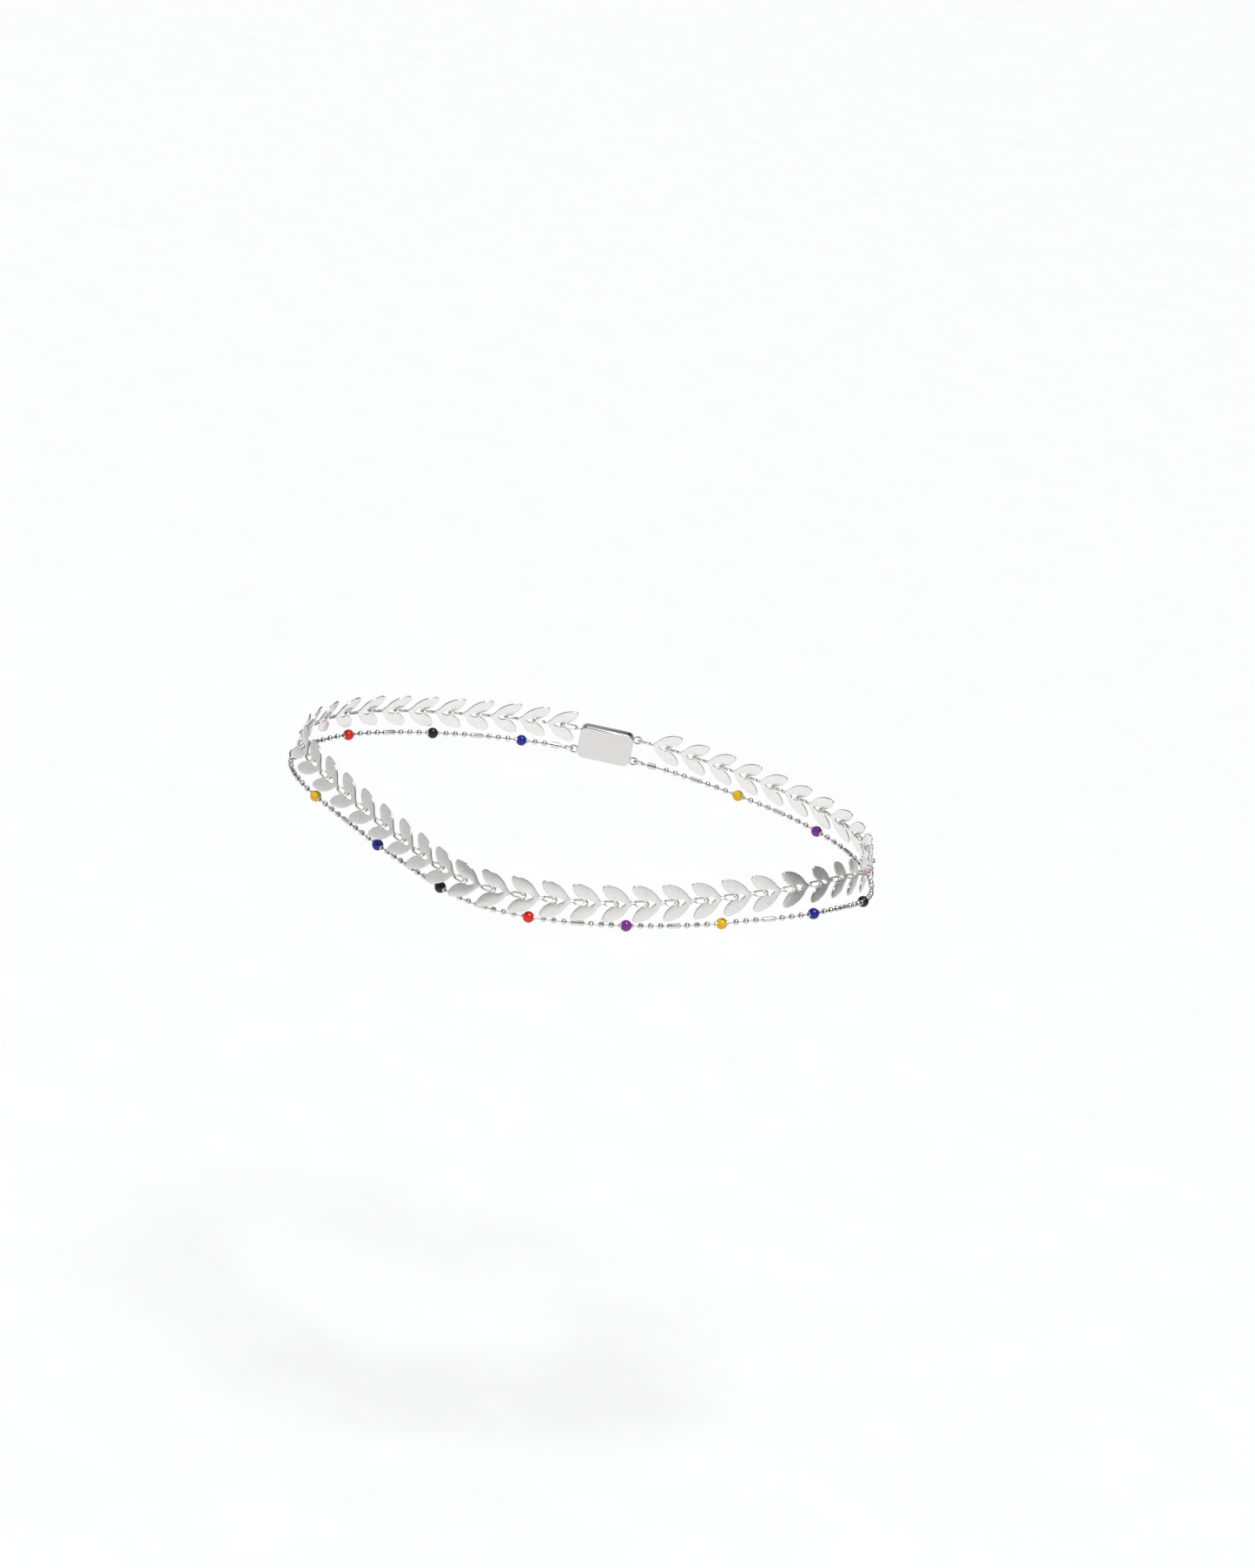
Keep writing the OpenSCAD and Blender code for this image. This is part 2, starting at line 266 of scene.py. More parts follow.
def new_finish(name):
    """Starts a material under a name that the frame's own materials don't have."""
    return Finish(bpy.data.materials.new("anklet_" + name))


def shaded(rgb, factor):
    return tuple(part * factor for part in rgb)


def satin_silver(looks):
    """Brushed silver: fine lines along each leaf, on the piece's own map in millimetres. Crosswise
    dashes are dents in the bump, and the colour is also painted darker along them as a painted
    reflection.
    """
    finish = new_finish("satin_silver")
    place = finish.coordinates("UV")
    lines = finish.noise(finish.stretched(place, (1.6, 26, 1)), 1.0, 3.0, 0.6)
    scratches = finish.noise(finish.stretched(place, (1.1, 9, 1)), 2.0, 2.0, 0.5)
    marks = finish.between(scratches, 0.58, 0.7)
    # Crosswise dashes: dents in the bump, and in the colour a painted dark reflection
    dents_and_painted_reflection = finish.between(
        finish.noise(finish.stretched(place, (5.5, 1.4, 1)), 1.0, 1.0), 0.6, 0.72)
    clouds = finish.noise(place, 0.7, 2.0)
    height = lines + marks * -0.35 + dents_and_painted_reflection * -0.5
    # The colour is painted darker along the dashes as a painted reflection; the clouds and lines
    # are the metal's own tone
    return finish.shader(
        Base_Color=finish.mix(finish.between(clouds + lines * 0.6 - dents_and_painted_reflection * 0.3, 0.55, 1.05),
                              shaded(looks.satin, 0.93), shaded(looks.satin, 1.0)),
        Metallic=1.0,
        Roughness=finish.between(lines, 0.3, 0.7, 0.24, 0.34) - marks * 0.05,
        Normal=finish.bump(height, 0.012 * MM, 0.6))


def polished_silver(looks, name="polished_silver", roughness=0.1):
    """Bright silver with the faint waviness of tumbled metal."""
    finish = new_finish(name)
    place = finish.coordinates("Object")
    waves = finish.noise(place, 900.0, 2.0)
    haze = finish.noise(place, 3500.0, 3.0)
    return finish.shader(
        Base_Color=finish.mix(finish.between(haze, 0.35, 0.65),
                              shaded(looks.silver, 0.95), shaded(looks.silver, 1.0)),
        Metallic=1.0,
        Roughness=finish.between(haze, 0.3, 0.7, roughness * 0.7, roughness * 1.4),
        Normal=finish.bump(waves, 0.012 * MM, 0.5))


def enamel(rgb, name):
    """Opaque enamel under a clear gloss, a little deeper in patches."""
    finish = new_finish(name)
    place = finish.coordinates("Object")
    clouds = finish.noise(place, 800.0, 3.0)
    dimples = finish.noise(place, 2600.0, 1.0)
    return finish.shader(
        Base_Color=finish.mix(finish.between(clouds, 0.35, 0.65), shaded(rgb, 0.86), rgb),
        Roughness=finish.between(clouds, 0.3, 0.7, 0.06, 0.09),
        Specular_IOR_Level=0.4,
        Normal=finish.bump(dimples, 0.006 * MM, 0.5))


# Places taken from the packed solids


class Solid:
    """One loose solid of a packed node, as triangles."""

    def __init__(self, triangles):
        self.points = triangles.reshape(-1, 3)
        cross = np.cross(triangles[:, 1] - triangles[:, 0], triangles[:, 2] - triangles[:, 0])
        self.areas = np.linalg.norm(cross, axis=1) / 2
        self.normals = cross / np.maximum(2 * self.areas, TINY)[:, None]
        self.middles = triangles.mean(axis=1)
        self.centre = self.middle_of(self.areas > 0)

    def middle_of(self, chosen):
        return np.average(self.middles[chosen], axis=0, weights=self.areas[chosen])

    def reach(self, direction):
        return (self.points @ direction).max()


def unit(vector):
    return vector / np.linalg.norm(vector)


def solids_of(name):
    """The loose solids of a node, from a merged copy of its mesh."""
    bm = bmesh.new()
    bm.from_mesh(NODES[name].data)
    bmesh.ops.remove_doubles(bm, verts=bm.verts, dist=MERGE)
    bmesh.ops.triangulate(bm, faces=bm.faces)
    bm.faces.ensure_lookup_table()
    seen = set()
    found = []
    for seed in bm.faces:
        if seed.index in seen:
            continue
        seen.add(seed.index)
        island = [seed]
        for face in island:
            for vert in face.verts:
                for other in vert.link_faces:
                    if other.index not in seen:
                        seen.add(other.index)
                        island.append(other)
        found.append(Solid(np.array([[vert.co[:] for vert in face.verts] for face in island])))
    bm.free()
    return found


def round_from_clasp(point):
    """Angle round the loop's axis from the clasp, which sorts the pieces along their strand."""
    return (math.atan2(point[1], point[0]) - math.pi / 2) % TURN


def matrix(origin, along, facing):
    """Axes with x along a piece and z as near as it can be to the way that it faces."""
    upwards = unit(np.cross(facing, along))
    outwards = np.cross(along, upwards)
    turned = Matrix([along, upwards, outwards]).transposed().to_4x4()
    return Matrix.Translation(Vector(origin)) @ turned


def outward(normal, point):
    """The normal, turned so that it points away from the loop's axis."""
    return normal if normal[0] * point[0] + normal[1] * point[1] > 0 else -normal


def link_places(leaf):
    """For each leaf link, the matrix of its axes, in their order from the clasp."""
    over = leaf.bar / 2 + leaf.play + leaf.wire
    places = []
    for solid in solids_of("leaf_links"):
        facing = outward(solid.normals[solid.areas.argmax()], solid.centre)
        flat = abs(solid.normals @ facing) > FLAT
        on_plate = solid.middle_of(flat)
        along = unit(solid.middle_of(~flat) - on_plate)
        past_pivot = solid.reach(along) - along @ on_plate - leaf.pitch - over
        places.append(matrix(on_plate + along * past_pivot, along, facing))
    return sorted(places, key=lambda place: round_from_clasp(place.translation))


def string_places():
    """For each threaded solid, its name and the matrix of its axes, in order from the clasp."""
    names = [name for name in NODES if name.startswith(("enamel_bead", "bar_tube", "silver_ball"))]
    items = [(name, solid.centre) for name in names for solid in solids_of(name)]
    items.sort(key=lambda item: round_from_clasp(item[1]))
    points = [item[1] for item in items]
    before = [2 * points[0] - points[1]] + points[:-1]
    after = points[1:] + [2 * points[-1] - points[-2]]
    placed = []
    for (name, here), last, following in zip(items, before, after):
        came, goes = here - last, following - here
        along = unit(unit(came) * np.linalg.norm(goes) + unit(goes) * np.linalg.norm(came))
        outwards = np.array([here[0], here[1], 0])
        placed.append((name, matrix(here, along, unit(outwards))))
    return placed


# Mesh building


def geometry(bm):
    return bm.verts[:] + bm.edges[:] + bm.faces[:]


def turned(profile, steps):
    """A closed or pole-to-pole profile of (x, radius) pairs, turned round the x axis."""
    bm = bmesh.new()
    verts = [bm.verts.new((x, 0, radius)) for x, radius in profile]
    ends = list(zip(verts, verts[1:]))
    if profile[0][1] > 0:
        ends.append((verts[-1], verts[0]))
    edges = [bm.edges.new(pair) for pair in ends]
    bmesh.ops.spin(
        bm, geom=verts + edges, cent=(0, 0, 0), axis=(1, 0, 0), dvec=(0, 0, 0), angle=TURN,
        steps=steps, use_merge=True, use_duplicate=False)
    bmesh.ops.remove_doubles(bm, verts=bm.verts, dist=MERGE)
    bmesh.ops.recalc_face_normals(bm, faces=bm.faces)
    return bm


def arc(centre, radius, start, end, steps):
    """Points on an arc, the short way from one place on it to another, ends included."""
    first = math.atan2(*(start - centre).yx)
    swept = (math.atan2(*(end - centre).yx) - first + math.pi) % TURN - math.pi
    return [centre + radius * Vector((math.cos(a), math.sin(a)))
            for a in np.linspace(first, first + swept, steps + 1)]


def rounded_profile(half_length, radius, bore, rounding, steps):
    """The outline of half a wall: a bored round bar with rounded ends, as (x, radius) pairs."""
    corner = [(rounding * math.sin(a), rounding * math.cos(a))
              for a in np.linspace(0, math.pi / 2, steps + 1)]
    right = [(half_length - rounding + x, radius - rounding + r) for x, r in corner]
    outside = [(-x, r) for x, r in reversed(right)] + right
    return outside + [(half_length, bore), (-half_length, bore)]


def wire_loop(start, end, gap, wire):
    """A closed loop of wire in the x-z plane, whose centre line runs from start to end."""
    rise = gap / 2
    bm = bmesh.new()
    bmesh.ops.create_circle(
        bm, segments=WIRE_SIDES, radius=wire / 2,
        matrix=Matrix.Translation((start + rise, 0, rise)) @ Matrix.Rotation(TURN / 4, 4, "Y"))
    bmesh.ops.spin(
        bm, geom=bm.verts[:] + bm.edges[:], cent=(start + rise, 0, 0), axis=(0, -1, 0),
        dvec=(0, 0, 0), angle=TURN / 2, steps=WIRE_SIDES, use_merge=False, use_duplicate=False)
    other = bmesh.ops.duplicate(bm, geom=geometry(bm))["geom"]
    bmesh.ops.rotate(
        bm, verts=[item for item in other if isinstance(item, bmesh.types.BMVert)],
        cent=((start + end) / 2, 0, 0), matrix=Matrix.Rotation(TURN / 2, 3, "Y"))
    for side in (1, -1):
        ends = [edge for edge in bm.edges
                if edge.is_boundary and side * edge.verts[0].co.z > 0]
        bmesh.ops.bridge_loops(bm, edges=ends)
    bmesh.ops.recalc_face_normals(bm, faces=bm.faces)
    return bm


def join(bm, other):
    """Adds another bmesh to this one, and frees it."""
    mesh = bpy.data.meshes.new("part")
    other.to_mesh(mesh)
    other.free()
    bm.from_mesh(mesh)
    bpy.data.meshes.remove(mesh)


def shank_and_loop(leaf, start, held, shank_length, loop_turn=0):
    """A round shank from start, and on it the loop that holds a bar at held."""
    neck = leaf.neck / 2
    edge = leaf.shank / 2 - neck
    near = start + leaf.neck_length
    far = near + shank_length
    corner = [(edge * (1 - math.cos(a)), neck + edge * math.sin(a))
              for a in np.linspace(0, math.pi / 2, 6)]
    bm = turned([
        (start - leaf.neck_length, 0), (start - leaf.neck_length, neck),
        *[(near + x, r) for x, r in corner], *[(far - x, r) for x, r in reversed(corner)],
        (far, 0)], 24)
    loop = wire_loop(far - leaf.wire / 2, held + leaf.bar / 2 + leaf.play + leaf.wire / 2,
                     leaf.gap, leaf.wire)
    bmesh.ops.transform(loop, matrix=Matrix.Rotation(loop_turn, 4, "X"), verts=loop.verts)
    join(bm, loop)
    return bm


def copies(template, places, shift_map=False):
    """One bmesh with the template set at each place; each copy takes another part of the map."""
    mesh = bpy.data.meshes.new("template")
    template.to_mesh(mesh)
    template.free()
    bm = bmesh.new()
    for index, place in enumerate(places):
        first_vert, first_face = len(bm.verts), len(bm.faces)
        bm.from_mesh(mesh)
        bm.verts.ensure_lookup_table()
        bm.faces.ensure_lookup_table()
        bmesh.ops.transform(bm, matrix=place, verts=bm.verts[first_vert:])
        if shift_map:
            layer = bm.loops.layers.uv.verify()
            for face in bm.faces[first_face:]:
                for loop in face.loops:
                    loop[layer].uv += Vector((9.7 * index, 3.1 * index))
    bpy.data.meshes.remove(mesh)
    return bm


def add_piece(name, bm, nodes, materials, flat_material=None):
    """Makes a bmesh the piece that stands for some packed nodes.

    Faces in the flat material are shaded flat, and all others smooth.
    """
    mesh = bpy.data.meshes.new(name)
    for face in bm.faces:
        face.smooth = face.material_index != flat_material
    bm.to_mesh(mesh)
    bm.free()
    mesh.set_sharp_from_angle(angle=SMOOTH_ANGLE)
    for finish in materials:
        mesh.materials.append(finish)
    piece = bpy.data.objects.new(name, mesh)
    bpy.context.scene.collection.objects.link(piece)
    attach(piece, BODY)
    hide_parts(*nodes)
    return piece


def material(name):
    return bpy.data.materials["anklet_" + name]


# Operators


class ANKLET_OT_finishes(Operator):
    """Make the materials of every metal and enamel"""

    bl_idname = "anklet.finishes"
    bl_label = "Finishes"

    def execute(self, context):
        looks = context.scene.anklet_looks
        satin_silver(looks)
        polished_silver(looks)
        polished_silver(looks, "silver_thread", 0.2)
        for name in ("yellow", "blue", "black", "red", "purple"):
            enamel(tuple(getattr(looks, name)), "enamel_" + name)
        return {"FINISHED"}


def half_outline(leaf):
    """The upper half of the plate's outline: from the tip, round the leaf, the bar and the eye."""
    eye_start = leaf.bar / 2
    eye_end = eye_start + leaf.eye_length
    tip = eye_end + leaf.tip_length
    outer = Vector((tip - leaf.outer_back, leaf.outer_aside))
    inner = Vector((tip - leaf.inner_back, leaf.inner_aside))
    shoulder = Vector((tip, leaf.tip_half))
    root = Vector((tip - leaf.root_back, leaf.root_half))
    crossings = intersect_line_sphere_2d(shoulder, root, outer, leaf.outer_radius)
    join_at = next(point for point in crossings if point is not None)
    end = min(intersect_sphere_sphere_2d(outer, leaf.outer_radius - leaf.end_radius,
                                         inner, leaf.inner_radius - leaf.end_radius),
              key=lambda point: point.x)
    end_above = outer + (end - outer).normalized() * leaf.outer_radius
    end_below = inner + (end - inner).normalized() * leaf.inner_radius
    notch = Vector((-leaf.bar / 2, inner.y - math.sqrt(
        leaf.inner_radius ** 2 - (leaf.bar / 2 + inner.x) ** 2)))
    lens = 1.3 * leaf.eye_length
    lens_radius = (lens ** 2 + leaf.eye_height ** 2) / (4 * leaf.eye_height)
    lens_centre = Vector((eye_end - lens / 2, leaf.eye_height / 2 - lens_radius))
    eye_corner = lens_centre + Vector((eye_start - lens_centre.x, math.sqrt(
        lens_radius ** 2 - (eye_start - lens_centre.x) ** 2)))
    return [
        Vector((tip, 0)), shoulder,
        *arc(outer, leaf.outer_radius, join_at, end_above, 26),
        *arc(end, leaf.end_radius, end_above, end_below, 8)[1:],
        *arc(inner, leaf.inner_radius, end_below, notch, 14)[1:],
        Vector((notch.x, 0)), Vector((eye_start, 0)),
        *arc(lens_centre, lens_radius, eye_corner, Vector((eye_end, 0)), 14),
    ], end


def leaf_plate(leaf):
    """One plate: faces in the first material, polished rim and walls in the second."""
    outline, end = half_outline(leaf)
    half = leaf.thickness / 2
    bm = bmesh.new()
    bm.faces.new([bm.verts.new((*point, -half)) for point in outline])
    bmesh.ops.mirror(bm, geom=geometry(bm), merge_dist=MERGE, axis="Y")
    bmesh.ops.recalc_face_normals(bm, faces=bm.faces)
    top = bmesh.ops.extrude_face_region(bm, geom=bm.faces[:])["geom"]
    raised = [item for item in top if isinstance(item, bmesh.types.BMVert)]
    bmesh.ops.translate(bm, verts=raised, vec=(0, 0, leaf.thickness))
    bmesh.ops.recalc_face_normals(bm, faces=bm.faces)
    rims = [edge for edge in bm.edges
            if len(edge.link_faces) == 2 and 0.9 < edge.calc_face_angle(0) < 2.2
            and any(abs(face.normal.z) > 0.9 for face in edge.link_faces)]
    bmesh.ops.bevel(
        bm, geom=rims, offset=leaf.rim, offset_type="OFFSET", segments=3, profile=0.5,
        affect="EDGES", material=-1, clamp_overlap=True)
    layer = bm.loops.layers.uv.verify()
    for face in bm.faces:
        flat = abs(face.normal.z) > FLAT
        face.material_index = 0 if flat else 1
        side = 1 if face.calc_center_median().y > 0 else -1
        lengthways = Vector((end.x, side * end.y)).normalized()
        crossways = Vector((-lengthways.y, lengthways.x))
        for loop in face.loops:
            place = loop.vert.co.xy / MM
            loop[layer].uv = (place.dot(lengthways), place.dot(crossways) + 5 * side)
    bmesh.ops.triangulate(bm, faces=bm.faces)
    return bm


class ANKLET_OT_leaf_plates(Operator):
    """Stamp the leaf plates and set one on each link of the chain"""

    bl_idname = "anklet.leaf_plates"
    bl_label = "Leaf plates"

    def execute(self, context):
        leaf = context.scene.anklet_leaf
        bm = copies(leaf_plate(leaf), link_places(leaf), shift_map=True)
        add_piece("leaf_plates", bm, ["leaf_links"],
                  [material("satin_silver"), material("polished_silver")], flat_material=0)
        return {"FINISHED"}


class ANKLET_OT_leaf_loops(Operator):
    """Turn the round shanks and bend the loops that hold the next link"""

    bl_idname = "anklet.leaf_loops"
    bl_label = "Leaf loops"

    def execute(self, context):
        leaf = context.scene.anklet_leaf
        tip = leaf.bar / 2 + leaf.eye_length + leaf.tip_length
        bm = copies(shank_and_loop(leaf, tip, leaf.pitch, leaf.shank_length, leaf.loop_turn),
                    link_places(leaf))
        add_piece("leaf_loops", bm, ["leaf_links"],
                  [material("polished_silver")])
        return {"FINISHED"}


def bored_ball(radius, bore, steps):
    """The profile of a drilled ball, with the bore's mouth a little broken."""
    mouth = bore + 0.03 * MM
    start = math.asin(mouth / radius)
    outside = [(-radius * math.cos(a), radius * math.sin(a))
               for a in np.linspace(start, math.pi - start, steps + 1)]
    end = outside[-1][0] - 0.02 * MM
    return outside + [(end, bore), (-end, bore)]


class ANKLET_OT_silver_balls(Operator):
    """Turn the drilled balls and thread them"""

    bl_idname = "anklet.silver_balls"
    bl_label = "Silver balls"

    def execute(self, context):
        sizes = context.scene.anklet_string
        ball = turned(bored_ball(sizes.ball / 2, sizes.bore / 2, 14), 28)
        places = [place for name, place in string_places() if name == "silver_balls"]
        add_piece("silver_ball_string", copies(ball, places),
                  ["silver_balls"], [material("polished_silver")])
        return {"FINISHED"}


class ANKLET_OT_bar_tubes(Operator):
    """Turn the bar tubes with rounded ends"""

    bl_idname = "anklet.bar_tubes"
    bl_label = "Bar tubes"

    def execute(self, context):
        sizes = context.scene.anklet_string
        profile = rounded_profile(sizes.tube_length / 2, sizes.tube / 2, sizes.bore / 2,
                                  sizes.tube_rounding, 5)
        for name, place in string_places():
            if name.startswith("bar_tube"):
                tube = copies(turned(profile, 32), [place])
                add_piece("polished_" + name, tube, [name],
                          [material("polished_silver")])
        return {"FINISHED"}


def enamel_bead(sizes):
    """A bead with its enamel in the first material and its collars and bore in the second."""
    radius, collar = sizes.bead / 2, sizes.collar / 2
    half, bore, lip = sizes.collar_length / 2, sizes.bore / 2, 0.05 * MM
    start = math.asin(collar / radius)
    enamel_arc = [(-radius * math.cos(a), radius * math.sin(a))
                  for a in np.linspace(start, math.pi - start, 29)]
    right = [(half - lip, collar), (half, collar - lip), (half, bore)]
    left = [(-x, r) for x, r in reversed(right)]
    bm = turned(left + enamel_arc + right, 48)
    reach, depth = radius * math.cos(start) * FLAT, collar * 0.99
    for face in bm.faces:
        middle = face.calc_center_median()
        in_shell = abs(middle.x) < reach and middle.yz.length > depth
        face.material_index = 0 if in_shell else 1
    return bm


class ANKLET_OT_enamel_beads(Operator):
    """Turn the enamel beads with their bare collars"""

    bl_idname = "anklet.enamel_beads"
    bl_label = "Enamel beads"

    def execute(self, context):
        for name, place in string_places():
            if name.startswith("enamel_bead"):
                tint = "enamel_" + name.rsplit("_", 1)[1]
                bm = copies(enamel_bead(context.scene.anklet_string), [place])
                add_piece("glossy_" + name, bm, [name],
                          [material(tint), material("polished_silver")])
        return {"FINISHED"}


def clasp_axes(leaf):
    """The matrix of the clasp's axes, and the distance that it spans."""
    places = link_places(leaf)
    start = np.array(places[-1] @ Vector((leaf.pitch, 0, 0)))
    end = np.array(places[0].translation)
    solid = solids_of("clasp")[0]
    facing = outward(solid.normals[solid.areas.argmax()], solid.centre)
    return matrix(start, unit(end - start), facing), np.linalg.norm(end - start)


class ANKLET_OT_clasp(Operator):
    """Make the plain clasp with its lugs and latch loop"""

    bl_idname = "anklet.clasp"
    bl_label = "Clasp"

    def execute(self, context):
        leaf = context.scene.anklet_leaf
        sizes = context.scene.anklet_clasp
        axes, span = clasp_axes(leaf)
        far = span - leaf.neck_length - sizes.shank_length - sizes.latch_reach
        centre = Vector(((sizes.lug_reach + far) / 2, -sizes.drop / 2, 0))
        bm = bmesh.new()
        bmesh.ops.create_cube(
            bm, size=1, matrix=Matrix.Translation(centre) @ Matrix.Diagonal(
                (far - sizes.lug_reach, sizes.height, sizes.thickness, 1)))
        upright = [edge for edge in bm.edges
                   if abs((edge.verts[0].co - edge.verts[1].co).z) > sizes.thickness / 2]
        bmesh.ops.bevel(bm, geom=upright, offset=sizes.corner, segments=8, profile=0.5,
                        affect="EDGES", material=-1)
        rims = [edge for edge in bm.edges if edge.calc_face_angle(0) > 1]
        bmesh.ops.bevel(bm, geom=rims, offset=sizes.edge, segments=4, profile=0.5,
                        affect="EDGES", material=-1)
        lugs = ((0, 0, 1), (0, -sizes.drop, 1), (far + sizes.lug_reach, -sizes.drop, -1))
        hole, edge = sizes.lug_hole / 2, 0.05 * MM
        half = leaf.thickness / 2
        for x, y, side in lugs:
            outer = hole + sizes.lug_rim
            lug = turned([
                (-half, hole + edge), (-half, outer - edge), (edge - half, outer),
                (half - edge, outer), (half, outer - edge), (half, hole + edge),
                (half - edge, hole), (edge - half, hole)], 32)
            middle = Vector((x + side * (sizes.lug_rim / 2 + hole), y, 0))
            bmesh.ops.transform(
                lug, verts=lug.verts,
                matrix=Matrix.Translation(middle) @ Matrix.Rotation(math.pi / 2, 4, "Y"))
            join(bm, lug)
        join(bm, shank_and_loop(leaf, far, span, sizes.shank_length))
        add_piece("box_clasp", copies(bm, [axes]), ["clasp"],
                  [material("polished_silver")])
        return {"FINISHED"}


def cup_places(leaf, string, clasp):
    """For each cup, the matrix at its mouth with x towards its lug, and the lug's distance."""
    axes, span = clasp_axes(leaf)
    far = span - leaf.neck_length - clasp.shank_length - clasp.latch_reach
    lugs = [np.array(axes @ Vector((x, -clasp.drop, 0))) for x in (0, far + clasp.lug_reach)]
    found = []
    for solid in solids_of("string_ends"):
        lug = min(lugs, key=lambda point: np.linalg.norm(point - solid.centre))
        along = unit(lug - solid.centre)
        mouth = lug - along * (along @ lug + solid.reach(-along))
        found.append((matrix(mouth, along, np.array([mouth[0], mouth[1], 0])),
                      np.linalg.norm(lug - mouth)))
    return sorted(found, key=lambda item: round_from_clasp(item[0].translation))


class ANKLET_OT_string_ends(Operator):
    """Turn the cups that hold the thread's ends, with their shanks and loops"""

    bl_idname = "anklet.string_ends"
    bl_label = "String ends"

    def execute(self, context):
        scene = context.scene
        sizes = scene.anklet_string
        radius, bore, edge = sizes.cup / 2, sizes.bore / 2, 0.12 * MM
        bm = bmesh.new()
        for place, reach in cup_places(scene.anklet_leaf, sizes, scene.anklet_clasp):
            end = turned([
                (sizes.cup_length - sizes.cup_floor, 0), (sizes.cup_length - sizes.cup_floor, bore),
                (0, bore), (0, radius - edge), (edge, radius), (sizes.cup_length - edge, radius),
                (sizes.cup_length, radius - edge), (sizes.cup_length, 0)], 32)
            join(end, shank_and_loop(scene.anklet_leaf, sizes.cup_length, reach,
                                     scene.anklet_clasp.shank_length))
            bmesh.ops.transform(end, matrix=place, verts=end.verts)
            join(bm, end)
        add_piece("cup_ends", bm, ["string_ends"],
                  [material("polished_silver")])
        return {"FINISHED"}


class ANKLET_OT_thread(Operator):
    """Draw the thread through every bore, from cup to cup"""

    bl_idname = "anklet.thread"
    bl_label = "Thread"

    def execute(self, context):
        scene = context.scene
        sizes = scene.anklet_string
        hold = 0.6 * MM
        (first, _), (last, _) = cup_places(scene.anklet_leaf, sizes, scene.anklet_clasp)
        points = [first @ Vector((hold, 0, 0)), first.translation]
        for name, place in string_places():
            half = 0
            if name.startswith("enamel_bead"):
                half = sizes.collar_length / 2
            if name.startswith("bar_tube"):
                half = sizes.tube_length / 2
            steps = (-half, half) if half else (0,)
            points += [place @ Vector((step, 0, 0)) for step in steps]
        points += [last.translation, last @ Vector((hold, 0, 0))]
        curve = bpy.data.curves.new("thread", "CURVE")
        curve.dimensions = "3D"
        curve.bevel_depth = sizes.thread / 2
        curve.bevel_resolution = 2
        curve.resolution_u = 3
        curve.use_fill_caps = True
        spline = curve.splines.new("BEZIER")
        spline.bezier_points.add(len(points) - 1)
        for knot, point in zip(spline.bezier_points, points):
            knot.co = point
            knot.handle_left_type = knot.handle_right_type = "AUTO"
        drawn = bpy.data.objects.new("drawn_thread", curve)
        scene.collection.objects.link(drawn)
        context.view_layer.update()
        mesh = bpy.data.meshes.new_from_object(drawn.evaluated_get(
            context.evaluated_depsgraph_get()))
        bpy.data.objects.remove(drawn)
        bm = bmesh.new()
        bm.from_mesh(mesh)
        bpy.data.meshes.remove(mesh)
        bmesh.ops.remove_doubles(bm, verts=bm.verts, dist=MERGE)
        bmesh.ops.recalc_face_normals(bm, faces=bm.faces)
        add_piece("bright_thread", bm, ["bead_thread"],
                  [material("silver_thread")])
        return {"FINISHED"}


# Stage

PHOTO_SIZE = (1445, 1806)
LOOP_CENTRE_PIXEL = (670, 932)

# Azimuth, elevation and radius in degrees of each patch of the tent that is brighter or
# darker than the rest, and its share of the full light
TENT_PATCHES = (
    (0, 90, 34, 0.95),
    (-66, 4, 32, 0.7),
    (180, 4, 34, 0.5),
    (-84, 40, 24, 0.02),
    (-2, 12, 30, 0.1),
    (60, 45, 20, 0.04),
    (150, 42, 22, 0.04),
)

# How far past and short of a patch's radius its edge fades, as shares of the radius
PATCH_OUTSIDE, PATCH_INSIDE = 1.2, 0.8

FLOOR_HALF = 2.5
FLOOR_CELLS = 8

# Middle and size in metres, and tone, of each upright card beside the view
SIDE_CARDS = (
    ((0.42, 0.1, -0.03), (0.75, 0.18), 0.3),
    ((-0.5, 0.0, -0.03), (0.9, 0.18), 0.6),
)


def towards(azimuth, elevation):
    flat = math.cos(elevation)
    return Vector((flat * math.cos(azimuth), flat * math.sin(azimuth), math.sin(elevation)))


def tent(stage):
    """A pale light tent all round, with the bright and dark patches that silver shows."""
    world = bpy.data.worlds.new("tent")
    finish = Finish(world)
    direction = finish.coordinates("Generated")
    light = stage.tent_share
    for azimuth, elevation, radius, share in TENT_PATCHES:
        nearness = finish.node("ShaderNodeVectorMath", {"operation": "DOT_PRODUCT"}, {
            0: direction, 1: towards(math.radians(azimuth), math.radians(elevation))}, "Value")
        covered = finish.between(nearness, math.cos(math.radians(radius * PATCH_OUTSIDE)),
                                 math.cos(math.radians(radius * PATCH_INSIDE)))
        light = light + covered * (share - light)
    background = world.node_tree.nodes["Background"]
    background.inputs["Strength"].default_value = stage.tent_strength
    finish.feed(background.inputs["Color"], finish.mix(light, (0, 0, 0), stage.tent))
    return world


def side_card(middle, width, height, tone):
    """An upright card along y that glows evenly and shows in nothing but reflections."""
    bm = bmesh.new()
    bmesh.ops.create_grid(
        bm, x_segments=1, y_segments=1, size=0.5,
        matrix=Matrix.Translation(middle) @ Matrix.Rotation(TURN / 4, 4, "Y")
        @ Matrix.Diagonal((height, width, 1, 1)))
    mesh = bpy.data.meshes.new("side_card")
    bm.to_mesh(mesh)
    bm.free()
    mesh.materials.append(new_finish("side_card").shader(
        Base_Color=(0, 0, 0, 1), Specular_IOR_Level=0.0, Emission_Color=(tone, tone, tone, 1),
        Emission_Strength=1.0))
    card = bpy.data.objects.new("side_card", mesh)
    bpy.context.scene.collection.objects.link(card)
    card.visible_camera = card.visible_diffuse = card.visible_shadow = False
    card.visible_transmission = card.visible_volume_scatter = False


